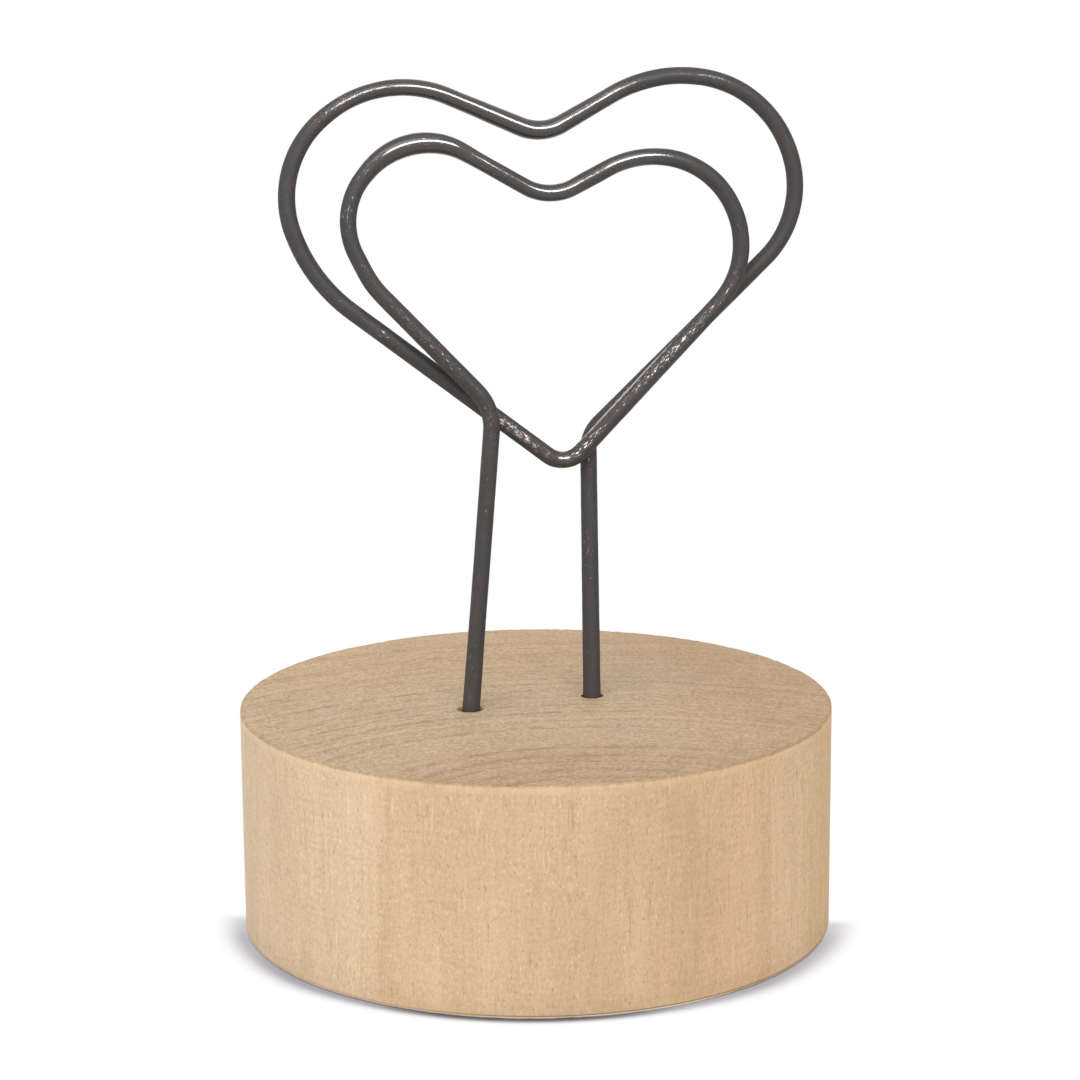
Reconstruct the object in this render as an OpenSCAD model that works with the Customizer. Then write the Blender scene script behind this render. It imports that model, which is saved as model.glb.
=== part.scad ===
/* [Base] */
// Width of the round wooden base
base_d = 50; // [40:1:80]
// Height of the base
base_h = 19; // [15:0.5:30]
// Size of the small break along the base's top edge
rim_break = 0.15; // [0.05:0.05:1]
// Size of the small break along the base's bottom edge
foot_break = 0.25; // [0.05:0.05:1]

/* [Bores] */
// Distance between the two bores, from left to right
bore_gap = 10.9; // [10:0.1:14]
// How far the right bore lies behind the left one
bore_skew = 1.8; // [0:0.1:4]
// Shift of the pair of bores to the left of the base's middle
bore_shift = 0.5; // [0:0.05:2]
// Depth of the bores
bore_depth = 12; // [6:0.5:14]
// Clearance round the wire in its bores
bore_clear = 0.3; // [0.2:0.05:0.5]
// Size of the break at the mouth of a bore
mouth_break = 0.05; // [0.05:0.05:0.3]

/* [Wire] */
// Thickness of the wire
wire_d = 1.4; // [1:0.1:1.6]
// Gap that the wire keeps where it passes behind itself
pass_gap = 0.1; // [0.05:0.05:1]
// Radius of the slight bend from which a leg leans
lean_r = 8; // [4:1:12]
// Depth of that bend below the top of the base
lean_depth = 1; // [0.5:0.5:3]

/* [Hearts] */
// Free height under the point of the hearts
point_h = 20; // [12:0.5:30]
// Shift of the point to the right of the base's middle
point_shift = 2.6; // [1:0.1:4]
// Outside width of the inner, front heart
inner_w = 34.6; // [33:0.1:38]
// Outside height of the inner heart
inner_h = 28.2; // [26:0.1:30]
// Outside width of the outer, back heart
outer_w = 44.4; // [42:0.1:50]
// Outside height of the outer heart
outer_h = 33; // [31.5:0.1:38]

/* [Hidden] */
$fn = 48;

// Overlap that lets neighbouring solids join
lap = 0.05;
// A bend is this much fuller than a straight run of the wire
bend_swell = 0.02;
// Shortest straight run that two bends leave between them
shortest_run = 0.1;

bore_d = wire_d + 2 * bore_clear;
bore_left_x = -bore_shift - bore_gap / 2;
bore_right_x = -bore_shift + bore_gap / 2;
bore_floor_z = base_h - bore_depth;

// The coil moves back by this much over each heart
layer_step = wire_d + pass_gap;

// The left leg stands in line with the front of the coil
bore_left_y = -layer_step;
bore_right_y = bore_left_y + bore_skew;

// Corners that the bent wire rounds off, in percent and seen from the point of the hearts:
// across by half the heart's width, up by its height, and the bend's radius by half the width
inner_corners = [
    [-38, 18, 27], // top of the left leg
    [-97.5, 57, 48], // left flank
    [-115, 79, 35], // left crown, outer side
    [-78, 106, 38], // left crown, inner side
    [-8, 81, 26], // cleft
    [34, 94, 50], // right crown, inner side
    [85.5, 91.5, 46], // right crown, outer side
    [93, 56, 41], // right flank
    [0.5, -3, 13], // point
];
outer_corners = [
    [-97, 49, 65], // left flank
    [-113, 79, 39], // left crown, outer side
    [-69, 103, 46], // left crown, inner side
    [-7.5, 85, 19], // cleft
    [36, 101, 56], // right crown, inner side
    [84.5, 96.5, 45], // right crown, outer side
    [98, 61.5, 38], // right flank
    [11, 5.5, 14], // top of the right leg
];

// A heart's corners at their real size, as [x, z, radius]
function heart(corners, width, height) =
    let (half_w = (width - wire_d) / 2, h = height - wire_d)
    [for (c = corners) [
        point_shift + c[0] / 100 * half_w,
        base_h + point_h + wire_d / 2 + c[1] / 100 * h,
        c[2] / 100 * half_w
    ]];

loops = concat(
    heart(inner_corners, inner_w, inner_h),
    heart(outer_corners, outer_w, outer_h)
);

// How far back a corner of the hearts lies, from -1 for the first to 1 for the last
function depth_share(i) = 2 * i / (len(loops) - 1) - 1;

// A leg's end on the floor of its bore and the corner from which it leans, as [x, y, z, radius]
function leg_end(x, y) = [x, y, bore_floor_z, 0];
function leg_lean(x, y) = [x, y, base_h - lean_depth, lean_r];

// The whole wire from the left leg's end to the right leg's end
route = concat(
    [leg_end(bore_left_x, bore_left_y), leg_lean(bore_left_x, bore_left_y)],
    [for (i = [0:len(loops) - 1]) [
        loops[i][0], layer_step * depth_share(i), loops[i][1], loops[i][2]
    ]],
    [leg_lean(bore_right_x, bore_right_y), leg_end(bore_right_x, bore_right_y)]
);

function corner(i) = [route[i][0], route[i][1], route[i][2]];
function is_end(i) = i == 0 || i == len(route) - 1;
function unit(v) = v / norm(v);

// Direction of the side from corner i to the next, and its length
function side(i) = unit(corner(i + 1) - corner(i));
function side_length(i) = norm(corner(i + 1) - corner(i));

// Angle that the wire turns through at a corner
function turn(i) = is_end(i) ? 0 : acos(side(i - 1) * side(i));

// Length of side that a bend of the drawn radius takes up
function drawn_reach(i) = route[i][3] * tan(turn(i) / 2);

// Share of their drawn radii that the two bends on a side have room for
function room(i) =
    min(1, (side_length(i) - shortest_run) / max(drawn_reach(i) + drawn_reach(i + 1), lap));

function bend_r(i) = route[i][3] * min(room(i - 1), room(i));
function reach(i) = is_end(i) ? 0 : bend_r(i) * tan(turn(i) / 2);

// Places its child with its axes along x, y and z and its origin at o
module place(x, y, z, o) {
    multmatrix([
        [x[0], y[0], z[0], o[0]],
        [x[1], y[1], z[1], o[1]],
        [x[2], y[2], z[2], o[2]]
    ])
        children();
}

// Straight run after corner i
module run(i) {
    along = side(i);
    across = unit(cross([0, 1, 0], along));
    start = reach(i) - (is_end(i) ? 0 : lap);
    end = side_length(i) - reach(i + 1) + (is_end(i + 1) ? 0 : lap);
    place(across, cross(along, across), along, corner(i) + start * along)
        cylinder(h = end - start, d = wire_d);
}

// Bend at corner i, a part of a ring between the two sides that meet there
module bend(i) {
    along = side(i - 1);
    inward = unit(side(i) - (side(i) * along) * along);
    centre = corner(i) - reach(i) * along + bend_r(i) * inward;
    place(-inward, along, cross(-inward, along), centre)
        rotate_extrude(angle = turn(i))
            translate([bend_r(i), 0])
                circle(d = wire_d + bend_swell);
}

// Blind bore with a broken mouth
module bore(x, y) {
    translate([x, y, bore_floor_z])
        cylinder(h = bore_depth + lap, d = bore_d);
    translate([x, y, base_h - mouth_break])
        cylinder(h = mouth_break + lap, d1 = bore_d, d2 = bore_d + 2 * (mouth_break + lap));
}

// Half section of the base, with its foot and rim broken
module base_section() {
    r = base_d / 2;
    polygon([
        [0, 0],
        [r - foot_break, 0],
        [r, foot_break],
        [r, base_h - rim_break],
        [r - rim_break, base_h],
        [0, base_h]
    ]);
}

module wood_base() {
    color("#c9ad8c")
        difference() {
            rotate_extrude($fn = 96) base_section();
            bore(bore_left_x, bore_left_y);
            bore(bore_right_x, bore_right_y);
        }
}

module wire_clip() {
    color("#4e4845") {
        run(0);
        for (i = [1:len(route) - 2]) {
            bend(i);
            run(i);
        }
    }
}

wood_base();
wire_clip();
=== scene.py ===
# %% [markdown]
# # A memo clip holder
# A round block of pale wood carries one dark steel wire. The wire is bent into two nested hearts,
# and a note is gripped between the front heart and the back one. The two solids come from the
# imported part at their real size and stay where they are. This lesson gives them the surface that
# the real pieces have: sanded end grain, a slightly ragged rim, and blackened wire with marks.

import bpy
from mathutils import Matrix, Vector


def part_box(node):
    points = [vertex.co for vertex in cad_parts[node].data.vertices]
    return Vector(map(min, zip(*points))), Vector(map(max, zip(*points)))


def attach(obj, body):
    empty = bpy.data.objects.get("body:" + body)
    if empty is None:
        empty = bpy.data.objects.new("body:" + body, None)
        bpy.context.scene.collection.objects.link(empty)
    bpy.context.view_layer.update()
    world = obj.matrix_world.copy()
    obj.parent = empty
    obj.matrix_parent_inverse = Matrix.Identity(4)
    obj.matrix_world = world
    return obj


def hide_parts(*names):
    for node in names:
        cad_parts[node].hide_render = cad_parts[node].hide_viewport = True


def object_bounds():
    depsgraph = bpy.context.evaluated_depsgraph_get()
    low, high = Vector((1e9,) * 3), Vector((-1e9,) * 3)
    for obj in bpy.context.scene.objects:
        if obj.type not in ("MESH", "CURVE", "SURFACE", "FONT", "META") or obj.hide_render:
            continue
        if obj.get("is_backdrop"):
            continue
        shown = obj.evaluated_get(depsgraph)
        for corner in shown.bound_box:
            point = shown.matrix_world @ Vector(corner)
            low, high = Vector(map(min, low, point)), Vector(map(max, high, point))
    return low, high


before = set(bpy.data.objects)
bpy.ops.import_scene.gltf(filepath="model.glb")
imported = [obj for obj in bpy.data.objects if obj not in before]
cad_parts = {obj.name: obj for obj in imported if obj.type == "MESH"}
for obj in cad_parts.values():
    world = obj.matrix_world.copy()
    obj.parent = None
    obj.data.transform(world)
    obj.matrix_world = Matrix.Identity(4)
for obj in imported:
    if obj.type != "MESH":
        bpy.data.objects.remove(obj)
cad_low, cad_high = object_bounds()
print("solids:", sorted(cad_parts), "height:", round(cad_high.z, 5))

# %% What every step uses
import math

import bmesh
import bpy
from mathutils import Matrix, Vector, noise

MM = 0.001


def colour(red, green, blue):
    """A colour given as it looks on screen, 0 to 255, as the linear values that a shader takes."""
    def linear(level):
        share = level / 255
        return share / 12.92 if share <= 0.04045 else ((share + 0.055) / 1.055) ** 2.4
    return (linear(red), linear(green), linear(blue), 1.0)


base_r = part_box("wood_base")[1].x
base_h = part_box("wood_base")[1].z
print("base: radius", round(base_r / MM, 2), "mm, height", round(base_h / MM, 2), "mm")

# %% [markdown]
# ## The camera
# The holder is seen from a little above and a little to the left of its front. The camera stands
# close, about a quarter of a metre away, so the near rim looks larger than the far one. Its turn is
# built from four plain rotations, in the order in which a photographer would make them: walk round
# the object, tilt down, turn slightly aside, and level the horizon.

# %% The camera
CAMERA_AZIMUTH = math.radians(-11.5)
CAMERA_DISTANCE = 247.2 * MM
CAMERA_RISE = 67.7 * MM
CAMERA_TILT = math.radians(12.28)
CAMERA_ASIDE = math.radians(0.1)
CAMERA_ROLL = math.radians(-0.41)
LENS = 100.5
SENSOR = 36.0

camera_data = bpy.data.cameras.new("camera")
camera_data.lens = LENS
camera_data.sensor_width = SENSOR
camera_data.clip_start = 10 * MM
camera = bpy.data.objects.new("camera", camera_data)
bpy.context.scene.collection.objects.link(camera)
bpy.context.scene.camera = camera


def around(azimuth, distance, height):
    """A point at a level distance from the base's axis. Azimuth 0 is in front, on the -Y side."""
    return Vector((math.sin(azimuth) * distance, -math.cos(azimuth) * distance, height))


camera.matrix_world = (
    Matrix.Translation(around(CAMERA_AZIMUTH, CAMERA_DISTANCE, base_h + CAMERA_RISE))
    @ Matrix.Rotation(CAMERA_AZIMUTH, 4, "Z")
    @ Matrix.Rotation(math.pi / 2 - CAMERA_TILT, 4, "X")
    @ Matrix.Rotation(-CAMERA_ASIDE, 4, "Y")
    @ Matrix.Rotation(CAMERA_ROLL, 4, "Z")
)
print("camera at", [round(value, 4) for value in camera.matrix_world.translation])

# %% [markdown]
# ## Shader maths as Python
# A node tree is hard to read as code when each Math node takes three lines. A socket wrapped in a
# small class can take part in Python expressions instead, and each operator adds its Math node.
# All other nodes come from one method, which takes the node's type, its settings and its inputs.

# %% Node helpers
class Socket:
    """An output of a node tree that takes part in Python expressions."""

    def __init__(self, sheet, socket):
        self.sheet = sheet
        self.socket = socket

    def math(self, operation, *values):
        return self.sheet.node("ShaderNodeMath", {"operation": operation}, dict(enumerate(values)))

    def __add__(self, other):
        return self.math("ADD", self, other)

    def __sub__(self, other):
        return self.math("SUBTRACT", self, other)

    def __rsub__(self, other):
        return self.math("SUBTRACT", other, self)

    def __mul__(self, other):
        return self.math("MULTIPLY", self, other)

    def __truediv__(self, other):
        return self.math("DIVIDE", self, other)

    def __neg__(self):
        return self.math("SUBTRACT", 0, self)

    def __abs__(self):
        return self.math("ABSOLUTE", self)

    __radd__ = __add__
    __rmul__ = __mul__

    def floor(self):
        return self.math("FLOOR", self)

    def fraction(self):
        return self.math("FRACT", self)

    def rise(self, start, end):
        """0 up to start, 1 from end on, and a smooth step between them."""
        return self.sheet.node(
            "ShaderNodeMapRange",
            {"interpolation_type": "SMOOTHSTEP"},
            {"Value": self, "From Min": start, "From Max": end},
        )

    def band(self, start, full, fading, end):
        """1 from full to fading, and down to 0 on both sides, at start and at end."""
        return self.rise(start, full) * (1 - self.rise(fading, end))


# A Mix node has sockets for numbers and vectors too. These are the ones for colours.
MIX_SHARE = 0
MIX_FIRST = 6
MIX_SECOND = 7
MIX_RESULT = 2


class Sheet:
    """A node tree that is filled by code."""

    def __init__(self, tree):
        self.tree = tree
        tree.nodes.clear()

    def node(self, kind, settings=None, inputs=None, output=0):
        made = self.tree.nodes.new(kind)
        for name, value in (settings or {}).items():
            setattr(made, name, value)
        for name, value in (inputs or {}).items():
            if isinstance(value, Socket):
                self.tree.links.new(value.socket, made.inputs[name])
            else:
                made.inputs[name].default_value = value
        return Socket(self, made.outputs[output])

    def finish(self, shader, kind="ShaderNodeOutputMaterial"):
        """Sends a shader to the surface."""
        output = self.tree.nodes.new(kind)
        self.tree.links.new(shader.socket, output.inputs["Surface"])

    def blend(self, share, first, second, manner="MIX"):
        """The first colour where share is 0, the second where it is 1."""
        settings = {"data_type": "RGBA", "blend_type": manner}
        inputs = {MIX_SHARE: share, MIX_FIRST: first, MIX_SECOND: second}
        return self.node("ShaderNodeMix", settings, inputs, output=MIX_RESULT)

    def darken(self, share, picture, tint):
        """The colour, multiplied by the tint where share is 1."""
        return self.blend(share, picture, tint, "MULTIPLY")

    def moved(self, place, scale, shift=(0, 0, 0)):
        """The place, scaled along each axis and then shifted."""
        inputs = {"Vector": place, "Location": shift, "Scale": scale}
        return self.node("ShaderNodeMapping", None, inputs)

    def noise(self, place, axes, scale, detail=2.0, roughness=0.5, shift=(0, 0, 0)):
        """Smooth noise, mostly within -0.3 to 0.3. It is long on an axis whose number is small."""
        inputs = {
            "Vector": self.moved(place, axes, shift),
            "Scale": scale,
            "Detail": detail,
            "Roughness": roughness,
        }
        return self.node("ShaderNodeTexNoise", None, inputs) - 0.5

    def noise_along(self, value, scale):
        """Such noise over a single number."""
        inputs = {"W": value, "Scale": scale, "Detail": 1.0}
        return self.node("ShaderNodeTexNoise", {"noise_dimensions": "1D"}, inputs) - 0.5

    def part(self, vector, axis):
        """One axis of a vector."""
        return self.node("ShaderNodeSeparateXYZ", None, {0: vector}, output=axis)

    def length(self, vector):
        return self.node("ShaderNodeVectorMath", {"operation": "LENGTH"}, {0: vector}, output=1)

    def in_millimetres(self, metres):
        inputs = {0: metres, "Scale": 1 / MM}
        return self.node("ShaderNodeVectorMath", {"operation": "SCALE"}, inputs)

    def attribute(self, name):
        """What the mesh notes at each vertex under that name."""
        settings = {"attribute_type": "GEOMETRY", "attribute_name": name}
        return self.node("ShaderNodeAttribute", settings, output="Vector")


def new_finish(name):
    material = bpy.data.materials.new(name)
    material.use_nodes = True
    return material, Sheet(material.node_tree)


print("node helpers ready")

# %% [markdown]
# ## Light and floor
# A large soft lamp above the front and level light from all round keep the wood's colours about as
# they are written. The wire is nearly black, yet it shows a thin white line along its upper side.
# That line is the mirror image of a bright strip above the camera. In the studio, a flag keeps such
# a strip off the wood, so here the strip shows in reflections only.

# %% Lamps
AIM = Vector((0.0, 0.0, 45 * MM))
LAMP_DISTANCE = 0.6
STRIP_TINT = (1.0, 0.95, 0.91)


def lamp(name, azimuth, elevation, width, height, brightness):
    """A soft rectangular lamp, whose face is that many times as bright as white paper."""
    data = bpy.data.lights.new(name, "AREA")
    data.shape = "RECTANGLE"
    data.size = width
    data.size_y = height
    data.energy = brightness * math.pi * width * height
    piece = bpy.data.objects.new(name, data)
    bpy.context.scene.collection.objects.link(piece)
    level = math.cos(math.radians(elevation)) * LAMP_DISTANCE
    rise = math.sin(math.radians(elevation)) * LAMP_DISTANCE
    piece.location = AIM + around(math.radians(azimuth), level, rise)
    piece.rotation_euler = (piece.location - AIM).to_track_quat("Z", "Y").to_euler()
    print(name, "at", [round(value, 3) for value in piece.location])
    return piece


# Azimuth and elevation are in degrees, width and height in metres
lamp("soft_lamp", -22, 50, 0.62, 0.36, 3.2)
lamp("left_panel", -75, 25, 0.5, 0.5, 0.6)
strip = lamp("strip_in_reflections", 9, 31, 0.5, 0.2, 33)
strip.visible_diffuse = False
strip.data.color = STRIP_TINT

# %% [markdown]
# The room and the floor are white for the camera and in reflections. Such a glow would light the
# object too, so all other rays meet a dimmer room and a floor that gives no light. At the foot of
# the block the floor is grey paper, which takes the block's real shadow, and its colour there is also
# darkened into a painted shadow. The painted shadow lies on the side of the photographer: it starts
# beside the block, grows darker towards the front, and is narrowest and darkest right there.

# %% White room and floor
ROOM_LIGHT = 0.55
# Painted shadow: the paper's colours beside the block, diagonally in front, in front, and a tint on the
# left
PAINTED_SHADOW_BESIDE = colour(207, 209, 220)
PAINTED_SHADOW_DIAGONAL = colour(180, 182, 193)
PAINTED_SHADOW_FRONT = colour(120, 117, 126)
PAINTED_SHADOW_LEFT = colour(236, 236, 238)
PAPER_FAR = colour(234, 236, 238)
SHADOW_SIDE = Vector((-0.25, -0.97, 0.0))
SHADOW_REACH = 3.0 * MM
SHADOW_SHORTER = 1.5 * MM
FLOOR_SIZE = 1.5


def seen_directly(sheet):
    """1 for what the camera, a mirror or glass sees, 0 for light that falls on a surface."""
    rays = [
        sheet.node("ShaderNodeLightPath", output=name)
        for name in ("Is Camera Ray", "Is Glossy Ray", "Is Transmission Ray")
    ]
    return rays[0].math("MINIMUM", rays[0] + rays[1] + rays[2], 1.0)


world = bpy.data.worlds.new("white_room")
bpy.context.scene.world = world
bpy.context.scene.view_settings.view_transform = "Standard"
world.use_nodes = True
sheet = Sheet(world.node_tree)
dim = sheet.node("ShaderNodeBackground", None, {"Color": (1, 1, 1, 1), "Strength": ROOM_LIGHT})
white = sheet.node("ShaderNodeBackground", None, {"Color": (1, 1, 1, 1), "Strength": 1.0})
inputs = {0: seen_directly(sheet), 1: dim, 2: white}
sheet.finish(sheet.node("ShaderNodeMixShader", None, inputs), "ShaderNodeOutputWorld")

bm = bmesh.new()
bmesh.ops.create_grid(bm, x_segments=1, y_segments=1, size=FLOOR_SIZE)
floor_mesh = bpy.data.meshes.new("floor")
bm.to_mesh(floor_mesh)
bm.free()
floor = bpy.data.objects.new("floor", floor_mesh)
bpy.context.scene.collection.objects.link(floor)
floor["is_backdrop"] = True

material, sheet = new_finish("white_floor")
place = sheet.node("ShaderNodeTexCoord", output="Object")
away = sheet.length(place)
inputs = {0: place, 1: SHADOW_SIDE}
ahead = sheet.node("ShaderNodeVectorMath", {"operation": "DOT_PRODUCT"}, inputs, output=1)
turned = ahead / away
reach = SHADOW_REACH - turned.rise(0.6, 1.0) * SHADOW_SHORTER
started = ahead.rise(0.7 * MM, 2.8 * MM) * 0.7 + ahead.rise(2 * MM, 8 * MM) * 0.3
clear = 1 - (1 - ((away - base_r) / reach).rise(0.1, 1)) * started
left = -(sheet.part(place, "X") / away)
# Painted shadow in the paper's colour near the block, darkest in front and on the left
shaded = sheet.blend(turned.rise(0.3, 0.7), PAINTED_SHADOW_BESIDE, PAINTED_SHADOW_DIAGONAL)
shaded = sheet.blend(turned.rise(0.85, 1.0), shaded, PAINTED_SHADOW_FRONT)
shaded = sheet.darken(left.rise(-0.4, 0.4), shaded, PAINTED_SHADOW_LEFT)
paper_with_painted_shadow = sheet.blend(clear, shaded, PAPER_FAR)
paper = sheet.node("ShaderNodeBsdfDiffuse", None, {"Color": paper_with_painted_shadow})
white = sheet.node("ShaderNodeEmission", None, {"Strength": 1.0})
inputs = {0: seen_directly(sheet) * clear, 1: paper, 2: white}
sheet.finish(sheet.node("ShaderNodeMixShader", None, inputs))
floor_mesh.materials.append(material)
print("floor and room are white, with light", ROOM_LIGHT, "from all round")

# %% [markdown]
# ## Rings of vertices
# Both pieces are grown from a ring: a circle of edges is extruded, the new ring is moved, and so on.
# For the block, the ring goes up its wall. For the wire, it travels along the path of the wire just
# as the metal goes through a bender, and never has to be lofted between hand-made sections.

# %% Growing a ring
def grow(bm, ring, matrix):
    """Extrudes a ring of edges, moves the new ring by a matrix and returns its edges and vertices."""
    made = bmesh.ops.extrude_edge_only(bm, edges=ring)["geom"]
    verts = [item for item in made if isinstance(item, bmesh.types.BMVert)]
    bmesh.ops.transform(bm, matrix=matrix, verts=verts)
    known = set(verts)
    edges = [item for item in made if isinstance(item, bmesh.types.BMEdge)]
    return [edge for edge in edges if known.issuperset(edge.verts)], verts


def circle(bm, segments, radius, centre):
    """A circle of edges in a level plane."""
    matrix = Matrix.Translation(centre)
    made = bmesh.ops.create_circle(bm, segments=segments, radius=radius, matrix=matrix)
    # A set has no fixed order, and with some orders the filled top gets a folded face
    return list({edge for vert in made["verts"] for edge in vert.link_edges})


def narrower(radius, inset):
    """Shrinks a ring about the vertical axis by that inset."""
    share = (radius - inset) / radius
    return Matrix.Diagonal((share, share, 1, 1))


def finished_piece(bm, name, material, node):
    """Turns the mesh into a piece that stands for a CAD node."""
    bmesh.ops.recalc_face_normals(bm, faces=bm.faces)
    # Round surfaces are made of quads, and the faces that close them are flat
    for face in bm.faces:
        face.smooth = len(face.verts) == 4
    mesh = bpy.data.meshes.new(name)
    bm.to_mesh(mesh)
    bm.free()
    mesh.materials.append(material)
    piece = bpy.data.objects.new(name, mesh)
    bpy.context.scene.collection.objects.link(piece)
    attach(piece, "root")
    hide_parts(node)
    mesh.calc_loop_triangles()
    print(name, "has", len(mesh.loop_triangles), "triangles")
    return piece


print("ring tools ready")

# %% [markdown]
# ## The block
# The real block is a slice across a round bar of close-grained wood, sawn, sanded and drilled twice.
# A plain cylinder would have a rim like a knife. Here the wall grows from a ring of many short edges,
# the top is filled round the two holes, and both rims get a small round. Then noise nibbles at the
# rims and at the mouths of the holes, because saw and drill tear a few fibres out.

# %% Sizes of the block
RIM_ROUND = 0.15 * MM
FOOT_ROUND = 0.12 * MM
RIM_STEPS = 720
WALL_STEPS = 6
EDGE_INSET = 0.4 * MM
BORE_DEPTH = 12 * MM
BORE_GAP = 10.9 * MM
BORE_SHIFT = 0.5 * MM
BORE_SKEW = 1.8 * MM
LAYER_STEP = 1.5 * MM
MOUTH_ROUND = 0.05 * MM
MOUTH_STEPS = 72
CHIP_DEPTH = 0.4 * MM
# How deep fibres have torn out of the rims, in small spots and over longer stretches
TORN_SPOTS = 0.09 * MM
TORN_STRETCHES = 0.05 * MM
TORN_REACH = 0.3 * MM
SPOT_SIZE = 0.7 * MM
STRETCH_SIZE = 4 * MM
CHIP_SIZE = 0.5 * MM
# The foot stood on the saw's table and tore less than the rim
FOOT_TORN = 0.4
# Place of each hole, its width where the wood has closed in again, and how far its mouth has chipped
BORES = [
    (Vector((-BORE_SHIFT - BORE_GAP / 2, -LAYER_STEP, base_h)), 2.0 * MM, 0.22 * MM),
    (Vector((-BORE_SHIFT + BORE_GAP / 2, BORE_SKEW - LAYER_STEP, base_h)), 1.8 * MM, 0.02 * MM),
]
print("holes at", [[round(value / MM, 2) for value in place] for place, width, chip in BORES])


# %% The block's shape
def block_mesh():
    bm = bmesh.new()
    foot = circle(bm, RIM_STEPS, base_r, (0, 0, 0))
    sole, _ = grow(bm, foot, narrower(base_r, EDGE_INSET))
    bmesh.ops.contextual_create(bm, geom=sole)
    wall = foot
    tall = (base_h - 2 * EDGE_INSET) / WALL_STEPS
    for rise in [EDGE_INSET] + [tall] * WALL_STEPS + [EDGE_INSET]:
        wall, _ = grow(bm, wall, Matrix.Translation((0, 0, rise)))
    rim = wall
    face_edges, _ = grow(bm, rim, narrower(base_r, EDGE_INSET))
    mouths = [circle(bm, MOUTH_STEPS, width / 2, place) for place, width, _ in BORES]
    bmesh.ops.triangle_fill(bm, edges=face_edges + mouths[0] + mouths[1], use_beauty=True)
    for mouth in mouths:
        lip, _ = grow(bm, mouth, Matrix.Translation((0, 0, -CHIP_DEPTH)))
        end, _ = grow(bm, lip, Matrix.Translation((0, 0, CHIP_DEPTH - BORE_DEPTH)))
        bmesh.ops.contextual_create(bm, geom=end)
    soften = {"segments": 3, "profile": 0.5, "affect": "EDGES", "material": -1}
    bmesh.ops.bevel(bm, geom=foot, offset=FOOT_ROUND, **soften)
    bmesh.ops.bevel(bm, geom=rim, offset=RIM_ROUND, **soften)
    edges = [edge for mouth in mouths for edge in mouth if edge.is_valid]
    bmesh.ops.bevel(bm, geom=edges, offset=MOUTH_ROUND, **soften)
    return bm


def nibble(bm):
    """Tears a few fibres out of the rims and of the holes' mouths."""
    for vert in bm.verts:
        place = vert.co
        from_rim = Vector((base_r - place.xy.length, min(place.z, base_h - place.z))).length
        if from_rim < TORN_REACH:
            spots = max(0.0, noise.noise(place / SPOT_SIZE))
            stretches = max(0.0, noise.noise(place / STRETCH_SIZE))
            lost = TORN_SPOTS * spots + TORN_STRETCHES * stretches
            lost *= 1 - from_rim / TORN_REACH
            if place.z < base_h / 2:
                lost *= FOOT_TORN
            share = 1 - lost / base_r
            place.x, place.y = place.x * share, place.y * share
            place.z += lost if place.z < base_h / 2 else -lost
        for centre, width, chip in BORES:
            spoke = (place - centre).xy
            if spoke.length < 0.7 * width and base_h - place.z < CHIP_DEPTH:
                worn = chip * (0.6 + noise.noise(place / CHIP_SIZE))
                worn *= 1 - (base_h - place.z) / CHIP_DEPTH
                place.x += spoke.normalized().x * worn
                place.y += spoke.normalized().y * worn


bm = block_mesh()
nibble(bm)
print("block has", len(bm.verts), "vertices")

# %% [markdown]
# ## The wood's patterns
# Wood is a solid texture: rings round the heart of the tree, and fibres that run straight up with
# vessels among them. A picture wrapped round the block would tear at the rim. Written on Object
# coordinates, one set of noises gives the top and the wall their own look. The heart of this tree
# lay in front of the block, so the arcs of its rings bulge towards the back. All lengths are in
# millimetres here.

# %% The wood's rings and fibres
HEART = Vector((-1.5, -38.0))
RING_PITCH = 2.15
# Within this ring the wood is older and a little deeper in colour
DEEP_RING = 24.5
HALF_HEIGHT = base_h / MM / 2


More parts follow.
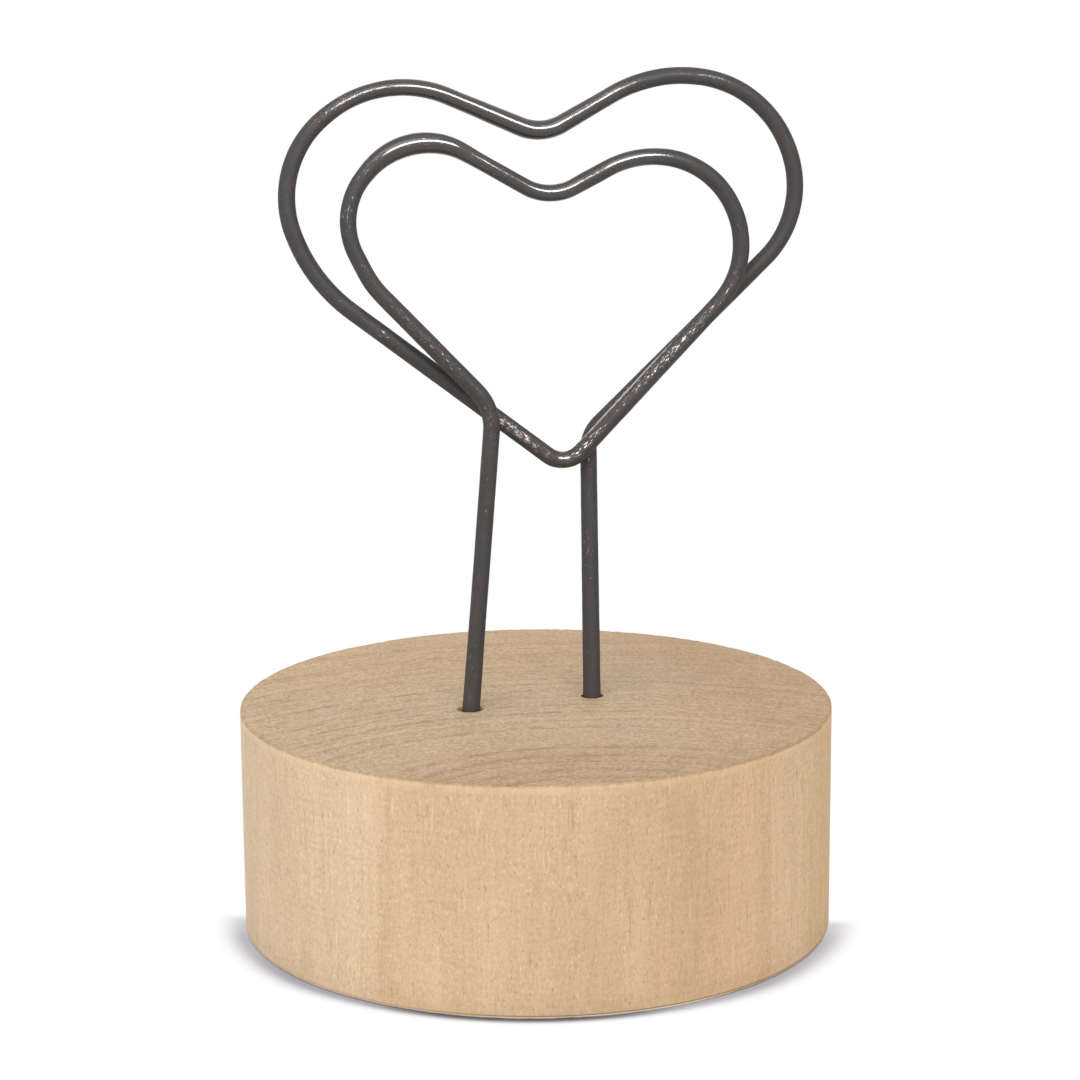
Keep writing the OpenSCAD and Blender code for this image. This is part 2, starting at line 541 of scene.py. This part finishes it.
class Wood:
    """What the wood is like at each place of the block, as sockets of its sheet."""

    def __init__(self, sheet):
        metres = sheet.node("ShaderNodeTexCoord", output="Object")
        self.place = sheet.in_millimetres(metres)
        self.across = sheet.part(self.place, "X")
        self.behind = sheet.part(self.place, "Y").rise(0, 18)
        self.height = sheet.part(self.place, "Z")
        self.inset = base_r / MM - sheet.length(sheet.moved(self.place, (1, 1, 0)))
        self.add_rings(sheet)
        self.add_fibres(sheet)
        # How far up or down from the middle, and 1 on the faces that the saw cut across the grain
        self.reach = abs(self.height - HALF_HEIGHT) + self.fine * 0.08
        self.cut = self.reach.rise(HALF_HEIGHT - 0.16, HALF_HEIGHT - 0.06)

    def add_rings(self, sheet):
        """Growth rings round the heart, which broad noise pushes about."""
        from_heart = sheet.moved(self.place, (1, 1, 0), (-HEART.x, -HEART.y, 0))
        radius = sheet.length(from_heart)
        radius += sheet.noise(self.place, (1, 1, 0.15), 0.05, 1.0) * 3
        radius += sheet.noise(self.place, (1, 1, 0.15), 0.4, 4.0, 0.6) * 0.7
        rings = radius / RING_PITCH + sheet.noise_along(radius, 0.3) * 0.9
        inputs = {"W": rings.floor()}
        strength = sheet.node("ShaderNodeTexWhiteNoise", {"noise_dimensions": "1D"}, inputs)
        season = rings.fraction()
        broken = sheet.noise(self.place, (1, 1, 0.1), 0.6, 3.0).rise(-0.15, 0.15)
        self.late = season.band(0.6, 0.95, 0.95, 1.0) * (strength * 0.7 + 0.3) * broken
        self.radius = radius
        self.older = 1 - radius.rise(DEEP_RING - 0.2, DEEP_RING + 0.2)

        # Dashes that lie along the rings
        swing = sheet.part(from_heart, "X").math("ARCTAN2", sheet.part(from_heart, "Y")) * -HEART.y
        inputs = {"X": radius, "Y": swing, "Z": self.height}
        along_rings = sheet.node("ShaderNodeCombineXYZ", None, inputs)
        self.dashes = sheet.noise(along_rings, (2.4, 0.4, 0.1), 1.0, 3.0, 0.6)

    def add_fibres(self, sheet):
        """Noises that are long along the grain, so the saw's cut shows them as dots."""
        place = self.place
        # Fibres in four sizes
        self.fine = sheet.noise(place, (1, 1, 0.6), 4.8, 3.0, 0.8)
        self.streaks = sheet.noise(place, (1, 1, 0.08), 4.2, 2.0, shift=(0, 0, 4))
        self.middle = sheet.noise(place, (1, 1, 0.06), 1.6, 3.0, 0.6)
        self.broad = sheet.noise(place, (1, 1, 0.15), 0.3, 3.0)
        # Dashes of cut vessels, short grains, and specks for the top
        self.vessels = sheet.noise(place, (1, 1, 0.25), 5.0, 2.0, shift=(3, 0, 0))
        self.grains = sheet.noise(place, (1, 1, 0.5), 5.8, 1.0, shift=(0, 5, 0))
        self.specks = sheet.noise(place, (0.8, 0.8, 1), 4.6, 3.0, 0.7)
        # Level marks of the sanding belt, and patches of another hue
        self.belt = sheet.noise(place, (0.2, 0.2, 1), 3.0, 2.0)
        self.hue = sheet.noise(place, (1, 1, 0.5), 0.8, 3.0, shift=(11, 0, 0))


print("rings are", RING_PITCH, "mm apart round a heart", -HEART.y, "mm in front of the axis")

# %% [markdown]
# ## The wood's colours
# The wall shows the fibres from the side, as upright streaks with the short dashes of cut vessels
# and pale sparks between them. The sawn faces cut the rings across, as thin, broken, dark arcs among
# fine pores, and end grain is darker because its open pores swallow light. Each colour is one blend
# over the one before. The tints near white only move the tone from side to side, since the tree
# didn't grow the same all round. The plain grey over the left and middle of the wall is painted
# shade instead.

# %% The wall and the sawn faces
WALL_PALE = colour(250, 220, 187)
WALL_DEEP = colour(213, 180, 142)
WALL_PAINTED_SHADE = colour(242, 242, 242)
WALL_RIGHT = colour(254, 249, 244)
WALL_TURNED = colour(245, 240, 223)
WALL_SPARK = colour(252, 230, 198)
END_PALE = colour(219, 193, 159)
END_DEEP = colour(168, 140, 110)
END_PIT = colour(196, 184, 170)
END_RIGHT = colour(246, 238, 230)
END_OLDER = colour(244, 238, 232)
END_BEHIND = colour(255, 250, 244)
LATE_WOOD = colour(210, 200, 188)
OLDER_WOOD = colour(248, 243, 237)
SAPWOOD = colour(252, 255, 255)
FLECK = colour(160, 116, 76)
BLUSH = colour(255, 253, 255)
STRAW = colour(254, 255, 250)


def wall_tone(sheet, wood):
    """The grain from the side."""
    shade = wood.fine * 1.3 + wood.middle * 0.35 + wood.broad * 0.6 + wood.belt * 0.4
    shade = shade - wood.late * 0.1 + 0.5
    beside = wood.across.rise(10, 20)
    tone = sheet.blend(shade.rise(-0.1, 1.1), WALL_DEEP, WALL_PALE)
    # Painted shade: a plain grey darkens the wall's left and middle, up to x = 6 to 13 mm
    tone = sheet.darken(1 - wood.across.rise(6, 13), tone, WALL_PAINTED_SHADE)
    tone = sheet.darken(wood.across.rise(-4, 6), tone, WALL_RIGHT)
    tone = sheet.darken(wood.across.rise(16, 23), tone, WALL_TURNED)
    tone = sheet.blend(wood.streaks.rise(0.12, 0.26) * (beside * 0.2 + 0.3), tone, FLECK)
    tone = sheet.blend((-wood.streaks).rise(0.12, 0.26) * 0.35, tone, WALL_SPARK)
    tone = sheet.blend(wood.vessels.rise(0.16, 0.28) * (beside * 0.4 + 0.45), tone, FLECK)
    tone = sheet.blend((-wood.grains).rise(0.14, 0.3) * 0.5, tone, FLECK)
    tone = sheet.blend(wood.grains.rise(0.15, 0.3) * 0.65, tone, WALL_SPARK)
    tone = sheet.darken(wood.older, tone, OLDER_WOOD)
    return sheet.darken((-wood.across).rise(12, 26), tone, SAPWOOD)


def end_tone(sheet, wood):
    """The grain from its end. The rings are fainter towards the right."""
    shade = wood.specks * 2.4 + wood.dashes * 0.8 + wood.broad * 0.5 + wood.behind * 0.12 + 0.5
    clear = 1 - wood.across.rise(2, 12) * 0.5
    tone = sheet.blend(shade.rise(-0.2, 1.2), END_DEEP, END_PALE)
    tone = sheet.darken(wood.behind, tone, END_BEHIND)
    tone = sheet.darken(wood.late * (wood.specks * 1.5 + 0.9) * clear, tone, LATE_WOOD)
    tone = sheet.darken(wood.grains.rise(0.14, 0.3), tone, END_PIT)
    tone = sheet.darken(1 - wood.radius.rise(DEEP_RING - 3, DEEP_RING + 2), tone, END_OLDER)
    return sheet.darken(wood.across.rise(6, 20), tone, END_RIGHT)


def with_patches(sheet, wood, tone):
    """Patches that are a little pinker or yellower."""
    tone = sheet.darken(wood.hue.rise(-0.2, 0.2), tone, BLUSH)
    return sheet.darken((-wood.hue).rise(-0.2, 0.2), tone, STRAW)


print("the wood's wall and ends have their colours")

# %% [markdown]
# ## What the tools left, and a painted highlight at the foot
# Saw, sander and drill each leave a mark. Heat has drawn a thin line along the upper rim, broken
# where fibres tore out. A brown line runs just above the foot, and below it the foot's round gets a
# painted highlight, for the light it catches from the floor. The very edge of the top is darker,
# most towards the back, and the drill has scorched the holes. Such marks follow the block's shape,
# so each is a band of height, or of distance from the rim or from a hole, and noise makes it ragged.

# %% Rims, foot and holes
RIM_OLIVE = colour(178, 148, 92)
RIM_RUST = colour(200, 148, 98)
RIM_LIGHT = colour(242, 213, 164)
EDGE_DARKER = colour(150, 118, 84)
FOOT_PAINTED_HIGHLIGHT = colour(255, 240, 214)
FOOT_LINE = colour(150, 102, 70)
SCORCH = colour(132, 66, 48)


def with_rims(sheet, wood, tone):
    """A thin line along the upper rim in places, pale wood beside it, and a darker band at the top's
    edge, most towards the back.
    """
    patchy = (wood.middle + wood.fine * 0.6).rise(-0.15, 0.15)
    line = wood.reach.band(HALF_HEIGHT - 0.24, HALF_HEIGHT - 0.16, HALF_HEIGHT - 0.1, HALF_HEIGHT - 0.03)
    upper = (wood.height / HALF_HEIGHT - 1).rise(0, 1)
    line_tone = sheet.blend(wood.middle.rise(0, 0.12), RIM_OLIVE, RIM_RUST)
    tone = sheet.blend(line * patchy * upper * 0.9, tone, line_tone)
    beside = wood.reach.band(HALF_HEIGHT - 1.0, HALF_HEIGHT - 0.3, HALF_HEIGHT - 0.3, HALF_HEIGHT - 0.15)
    tone = sheet.blend(beside * (1 - patchy) * 0.4, tone, RIM_LIGHT)
    # The very edge of the top is darker, most towards the back
    darker_edge = (1 - wood.inset.rise(0.15, 0.4)) * wood.cut * (wood.behind * 0.4 + 0.2)
    return sheet.blend(darker_edge, tone, EDGE_DARKER)


def with_foot_line(sheet, wood, tone):
    """A painted highlight on the foot's round, for the light it catches from the floor, clearest in the
    middle, and a brown line above, faint at the left.
    """
    up = wood.height + wood.fine * 0.04
    shown = wood.across.band(-15, -7, 7, 14) * 0.7 + 0.3
    outside = 1 - wood.inset.rise(0.15, 0.3)
    # Painted highlight: a pale band on the foot's round, for the light it catches from the floor
    tone = sheet.blend((1 - up.rise(0.16, 0.22)) * shown * outside, tone, FOOT_PAINTED_HIGHLIGHT)
    line = up.band(0.17, 0.22, 0.25, 0.31) * (wood.across.rise(-15, -7) * 0.5 + 0.25)
    return sheet.blend(line, tone, FOOT_LINE)


def with_scorched_holes(sheet, wood, tone):
    """Frayed, paler wood round each hole, and brown wood at its edge and inside."""
    for centre, width, _ in BORES:
        from_hole = sheet.moved(wood.place, (1, 1, 0), (-centre.x / MM, -centre.y / MM, 0))
        away = sheet.length(from_hole) - width / 2 / MM
        frayed = (1 - away.rise(0.15, 0.35)) * (wood.specks + wood.middle).rise(0.0, 0.2)
        tone = sheet.blend(frayed * 0.7, tone, RIM_LIGHT)
        burnt = 1 - (away + wood.fine * 0.3).rise(-0.04, 0.12)
        tone = sheet.blend(burnt * 0.8, tone, SCORCH)
    return tone


def wood_finish():
    material, sheet = new_finish("sanded_pale_wood")
    wood = Wood(sheet)
    tone = sheet.blend(wood.cut, wall_tone(sheet, wood), end_tone(sheet, wood))
    tone = with_rims(sheet, wood, tone)
    tone = with_foot_line(sheet, wood, tone)
    tone = with_patches(sheet, wood, tone)
    tone = with_scorched_holes(sheet, wood, tone)
    relief = wood.fine * 0.012 + wood.specks * wood.cut * 0.012 - wood.late * wood.cut * 0.01
    inputs = {
        "Base Color": tone,
        "Roughness": 0.62 + wood.fine * 0.2,
        "Specular IOR Level": 0.3,
        "Normal": sheet.node("ShaderNodeBump", None, {"Distance": MM, "Height": relief}),
    }
    sheet.finish(sheet.node("ShaderNodeBsdfPrincipled", None, inputs))
    return material


block = finished_piece(bm, "round_block", wood_finish(), "wood_base")

# %% [markdown]
# ## The path of the wire
# The wire is one length that goes up the left leg, round the small front heart, on behind its own
# start into the large back heart, and down the right leg. Its path is a chain of straight runs and
# round bends, exactly that of the solid: each corner is given in percent of its heart's size, seen
# from the point where both hearts meet, and the whole moves back a little at each corner.

# %% Sizes of the wire
WIRE_D = 1.4 * MM
LEAN_R = 8 * MM
LEAN_DEPTH = 1 * MM
POINT_H = 20 * MM
POINT_SHIFT = 2.6 * MM
SHORTEST_RUN = 0.1 * MM
# Across, up and radius in percent of the heart's half width, height and half width
INNER_HEART = {
    "width": 34.6 * MM,
    "height": 28.2 * MM,
    "corners": [
        (-38, 18, 27),
        (-97.5, 57, 48),
        (-115, 79, 35),
        (-78, 106, 38),
        (-8, 81, 26),
        (34, 94, 50),
        (85.5, 91.5, 46),
        (93, 56, 41),
        (0.5, -3, 13),
    ],
}
OUTER_HEART = {
    "width": 44.4 * MM,
    "height": 33 * MM,
    "corners": [
        (-97, 49, 65),
        (-113, 79, 39),
        (-69, 103, 46),
        (-7.5, 85, 19),
        (36, 101, 56),
        (84.5, 96.5, 45),
        (98, 61.5, 38),
        (11, 5.5, 14),
    ],
}


def heart_corners(heart):
    """A heart's corners at their real size, as x, z and radius."""
    half = (heart["width"] - WIRE_D) / 2
    height = heart["height"] - WIRE_D
    point_z = base_h + POINT_H + WIRE_D / 2
    return [
        (POINT_SHIFT + across / 100 * half, point_z + up / 100 * height, radius / 100 * half)
        for across, up, radius in heart["corners"]
    ]


def wire_corners():
    """All corners of the path, as points and radii."""
    loops = heart_corners(INNER_HEART) + heart_corners(OUTER_HEART)
    start, end = BORES[0][0], BORES[1][0]
    points = [start - Vector((0, 0, BORE_DEPTH)), start - Vector((0, 0, LEAN_DEPTH))]
    radii = [0.0, LEAN_R]
    for index, (x, z, radius) in enumerate(loops):
        back = LAYER_STEP * (2 * index / (len(loops) - 1) - 1)
        points.append(Vector((x, back, z)))
        radii.append(radius)
    points += [end - Vector((0, 0, LEAN_DEPTH)), end - Vector((0, 0, BORE_DEPTH))]
    return points, radii + [LEAN_R, 0.0]


points, radii = wire_corners()
print("the wire turns", len(points) - 2, "corners")


# %% Bends that share their straight runs
def bends(points, radii):
    """For each corner: the turn's angle, its radius and the length of run that it takes up."""
    sides = [after - before for before, after in zip(points, points[1:])]
    turns = [0.0] + [before.angle(after) for before, after in zip(sides, sides[1:])] + [0.0]
    wanted = [radius * math.tan(turn / 2) for radius, turn in zip(radii, turns)]
    room = [
        min(1.0, (side.length - SHORTEST_RUN) / max(first + second, SHORTEST_RUN / 2))
        for side, first, second in zip(sides, wanted, wanted[1:])
    ]
    made = [(0.0, 0.0, 0.0)]
    for index in range(1, len(points) - 1):
        share = min(room[index - 1], room[index])
        made.append((turns[index], radii[index] * share, wanted[index] * share))
    return made + [(0.0, 0.0, 0.0)]


turns = bends(points, radii)
tightest = min(radius for _, radius, _ in turns[1:-1])
print("tightest bend has a radius of", round(tightest / MM, 2), "mm")

# %% [markdown]
# ## The wire's shape
# A curve object with a round bevel would give a clean tube, but no way to say how thick it is here
# and there, and no record of where a point lay on the straight wire. So a ring of edges is sent down
# the path: along a run it is extruded and moved, and through a bend it is extruded and turned about
# the bend's own centre. Each point keeps its place on the straight wire as an attribute, and the
# scratches of the finish follow that. At the end the wire gets its small faults: it is pressed a
# little wider at the crown of the front heart, and is thinner where it was pulled.

# %% Bending the wire
WIRE_SIDES = 32
RUN_STEP = 0.22 * MM
BEND_STEP = math.radians(2)


def wire_mesh():
    bm = bmesh.new()
    straight = bm.verts.layers.float_vector.new("straight_place")
    ring = circle(bm, WIRE_SIDES, WIRE_D / 2, points[0])
    for vert in bm.verts:
        vert[straight] = (0, vert.co.x - points[0].x, vert.co.y - points[0].y)
    bmesh.ops.contextual_create(bm, geom=ring)
    travelled = 0.0

    def advance(ring, matrix, step):
        ring, verts = grow(bm, ring, matrix)
        for vert in verts:
            vert[straight] = (travelled + step, vert[straight].y, vert[straight].z)
        return ring, travelled + step

    for index in range(len(points) - 1):
        side = points[index + 1] - points[index]
        length = side.length - turns[index][2] - turns[index + 1][2]
        count = max(1, round(length / RUN_STEP))
        move = Matrix.Translation(side.normalized() * length / count)
        for _ in range(count):
            ring, travelled = advance(ring, move, length / count)
        angle, radius, reach = turns[index + 1]
        if not angle:
            continue
        following = points[index + 2] - points[index + 1]
        axis = side.cross(following).normalized()
        centre = points[index + 1] - side.normalized() * reach + axis.cross(side.normalized()) * radius
        count = max(2, round(angle / BEND_STEP))
        turn = (
            Matrix.Translation(centre)
            @ Matrix.Rotation(angle / count, 4, axis)
            @ Matrix.Translation(-centre)
        )
        for _ in range(count):
            ring, travelled = advance(ring, turn, angle * radius / count)
    bmesh.ops.contextual_create(bm, geom=ring)
    return bm, travelled


bm, wire_length = wire_mesh()
print("the wire is", round(wire_length / MM, 1), "mm long, with", len(bm.verts), "vertices")

# %% What bending did to the wire
# Each entry has a stretch's middle and half length along the wire, and how strong it is.
# Thickness is in millimetres and the other two are shares.
THICKNESS = [
    (8, 14, 0.10),
    (55, 9, -0.07),
    (66, 6, 0.36),
    (74, 6, -0.10),
    (167, 8, -0.09),
    (182, 7, 0.18),
    (262, 22, 0.10),
]
POLISH = [
    (47, 8, 0.2),
    (60.5, 4, 0.3),
    (67.5, 8, 1.0),
    (73, 5, 0.35),
    (79, 5, 0.8),
    (86, 5, 0.9),
    (92, 3, 0.2),
    (113, 9, 0.4),
    (123.5, 0.9, 0.9),
    (126, 6, 0.2),
    (150, 9, 0.2),
    (167, 6, 0.5),
    (174, 6, 1.0),
    (179, 6, 1.0),
    (184, 4, 0.7),
    (189, 5, 0.6),
    (198, 7, 0.3),
]
BRUISES_AND_PAINTED_GLINTS = [
    (16, 5, 0.5),
    (29, 4, 0.5),
    (36.5, 4, 0.8),
    (42, 5, 0.6),
    (47.5, 7, 0.8),
    (54, 3, 0.4),
    (58, 3, 0.8),
    (62, 3, 0.6),
    (67, 3, 0.5),
    (73, 4, 0.6),
    (100, 8, 0.3),
    (110, 12, 1.0),
    (121, 4, 1.0),
    (129, 8, 1.6),
    (142.5, 5, 0.8),
    (147.5, 2, 0.5),
    (155, 8, 0.3),
    (165, 5, 0.7),
    (188, 6, 0.4),
    (201, 10, 0.3),
    (232, 9, 0.8),
    (241, 4, 0.6),
    (248, 5, 0.5),
]
# A painted highlight: a thin bright line along the upper edge of the V's right branch
PAINTED_EDGE_HIGHLIGHTS = [
    (116, 9, 1.9),
]
# Dents and ripples of the surface in millimetres: depth, and size along and round the wire
DENT = 0.012
DENT_LENGTH = 2.2
DENT_WIDTH = 0.8
RIPPLE = 0.006
RIPPLE_SIZE = 0.55
# The sides that the bruises with their painted glints and the painted highlight line lie on, and how
# narrow they are there
FRONT = Vector((-0.35, -1.0, 0.35)).normalized()
FRONT_FOCUS = 3
HIGHLIGHT_SIDE = Vector((-0.71, -0.09, 0.70)).normalized()
HIGHLIGHT_FOCUS = 40


def strength_at(stretches, along):
    """What a list of stretches comes to at a place along the wire."""
    total = 0.0
    for middle, half, strength in stretches:
        away = min(1.0, abs(along / MM - middle) / half)
        total += strength * (0.5 + 0.5 * math.cos(math.pi * away))
    return total


def press(bm):
    """Gives the wire its uneven thickness, notes how it is worn, and where painted glints and a painted
    highlight line go.
    """
    straight = bm.verts.layers.float_vector["straight_place"]
    wear = bm.verts.layers.float_vector.new("wear")
    bmesh.ops.recalc_face_normals(bm, faces=bm.faces)
    bm.normal_update()
    for vert in bm.verts:
        place = Vector(vert[straight]) / MM
        along = vert[straight].x
        in_front = max(0.0, vert.normal.dot(FRONT)) ** FRONT_FOCUS
        on_highlight_side = max(0.0, vert.normal.dot(HIGHLIGHT_SIDE)) ** HIGHLIGHT_FOCUS
        dents = noise.noise(Vector((place.x / DENT_LENGTH, place.y / DENT_WIDTH, place.z / DENT_WIDTH)))
        swell = strength_at(THICKNESS, along) / 2
        swell += DENT * dents + RIPPLE * noise.noise(place / RIPPLE_SIZE)
        vert.co += vert.normal * swell * MM
        polish = strength_at(POLISH, along)
        # Painted glints go with the bruises, kept to the side that faces the camera
        bruise_and_glints = strength_at(BRUISES_AND_PAINTED_GLINTS, along) * in_front
        # A painted highlight line, kept to the upper edge of its stretch
        edge_highlight = strength_at(PAINTED_EDGE_HIGHLIGHTS, along) * on_highlight_side
        vert[wear] = (polish, bruise_and_glints, edge_highlight)


press(bm)
print("wire pressed at", len(THICKNESS), "stretches and bruised at", len(BRUISES_AND_PAINTED_GLINTS))

# %% [markdown]
# ## Blackened steel
# The wire is steel with a thin, dull black skin of oxide. Where the jaws of the bender slid along it
# the skin is burnished: darker, and with a clear coat in the shader, whose weight follows that wear.
# Only there the strip shows as a bright line, which noise in the weight and small dents in the mesh
# make ragged. Where the jaws pressed on the front, bare steel shows through as small scuffs, and
# they carry painted glints: bright specks in the base colour for the lamp's reflection in small
# dents, kept to the side that faces the camera. A painted highlight, a thin bright line in the base
# colour, runs along the upper edge of the V's right branch. A flat pattern would slide over the
# bends, so this one is laid out on the straight wire and bends with it, as real marks do.

# %% The wire's finish
SKIN_DARK = colour(71, 69, 69)
SKIN_BROWN = colour(86, 76, 73)
SKIN_SMOOTH = colour(50, 42, 38)
BARE_STEEL_AND_PAINTED_GLINTS = colour(198, 184, 180)


def wire_finish():
    material, sheet = new_finish("blackened_steel_wire")
    place = sheet.in_millimetres(sheet.attribute("straight_place"))
    wear = sheet.attribute("wear")
    polish = sheet.part(wear, "X")
    bruise_and_glints = sheet.part(wear, "Y")
    edge_highlight = sheet.part(wear, "Z")

    drawn = sheet.noise(place, (0.45, 1, 1), 5.0, 3.0, 0.7)
    blotch = sheet.noise(place, (0.4, 1, 1), 1.2, 3.0, 0.6)
    grit = sheet.noise(place, (0.6, 1, 1), 9.0, 2.0, shift=(9, 0, 0))
    scratch = sheet.noise(place, (0.25, 1, 1), 9.0, 2.0, shift=(5, 0, 0))
    # Bare steel in the scuffs, with painted glints and the painted highlight line in the base colour
    scuffs_and_painted_glints = (scratch + grit * 0.4 + bruise_and_glints * 0.27 + edge_highlight * 0.5).rise(0.22, 0.5)
    burnished = (polish + drawn * 0.9 + grit * 0.5).rise(0.15, 0.8)

    skin = sheet.blend((blotch + drawn * 0.4).rise(-0.1, 0.35), SKIN_DARK, SKIN_BROWN)
    skin = sheet.blend(burnished * 0.7, skin, SKIN_SMOOTH)
    tone = sheet.blend(scuffs_and_painted_glints * 0.85, skin, BARE_STEEL_AND_PAINTED_GLINTS)
    relief = drawn * (bruise_and_glints * 0.02 + 0.006) + grit * 0.003 + blotch * 0.01
    inputs = {
        "Base Color": tone,
        "Metallic": scuffs_and_painted_glints * 0.7,
        "Roughness": 0.55 - scuffs_and_painted_glints * 0.2 + drawn * 0.1,
        "Specular IOR Level": 0.12,
        "Coat Weight": burnished,
        "Coat Roughness": 0.06,
        "Normal": sheet.node("ShaderNodeBump", None, {"Distance": MM, "Height": relief}),
    }
    sheet.finish(sheet.node("ShaderNodeBsdfPrincipled", None, inputs))
    return material


wire = finished_piece(bm, "bent_wire", wire_finish(), "wire_clip")

# %% [markdown]
# ## The sizes
# The finished pieces have to keep to the size of the imported solids, so both boxes are measured and
# their upper corners compared.

# %% Both boxes
low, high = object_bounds()
off = [round((seen - packed) / MM, 3) for seen, packed in zip(high, cad_high)]
print("the upper corner of the visual box is off by", off, "mm")
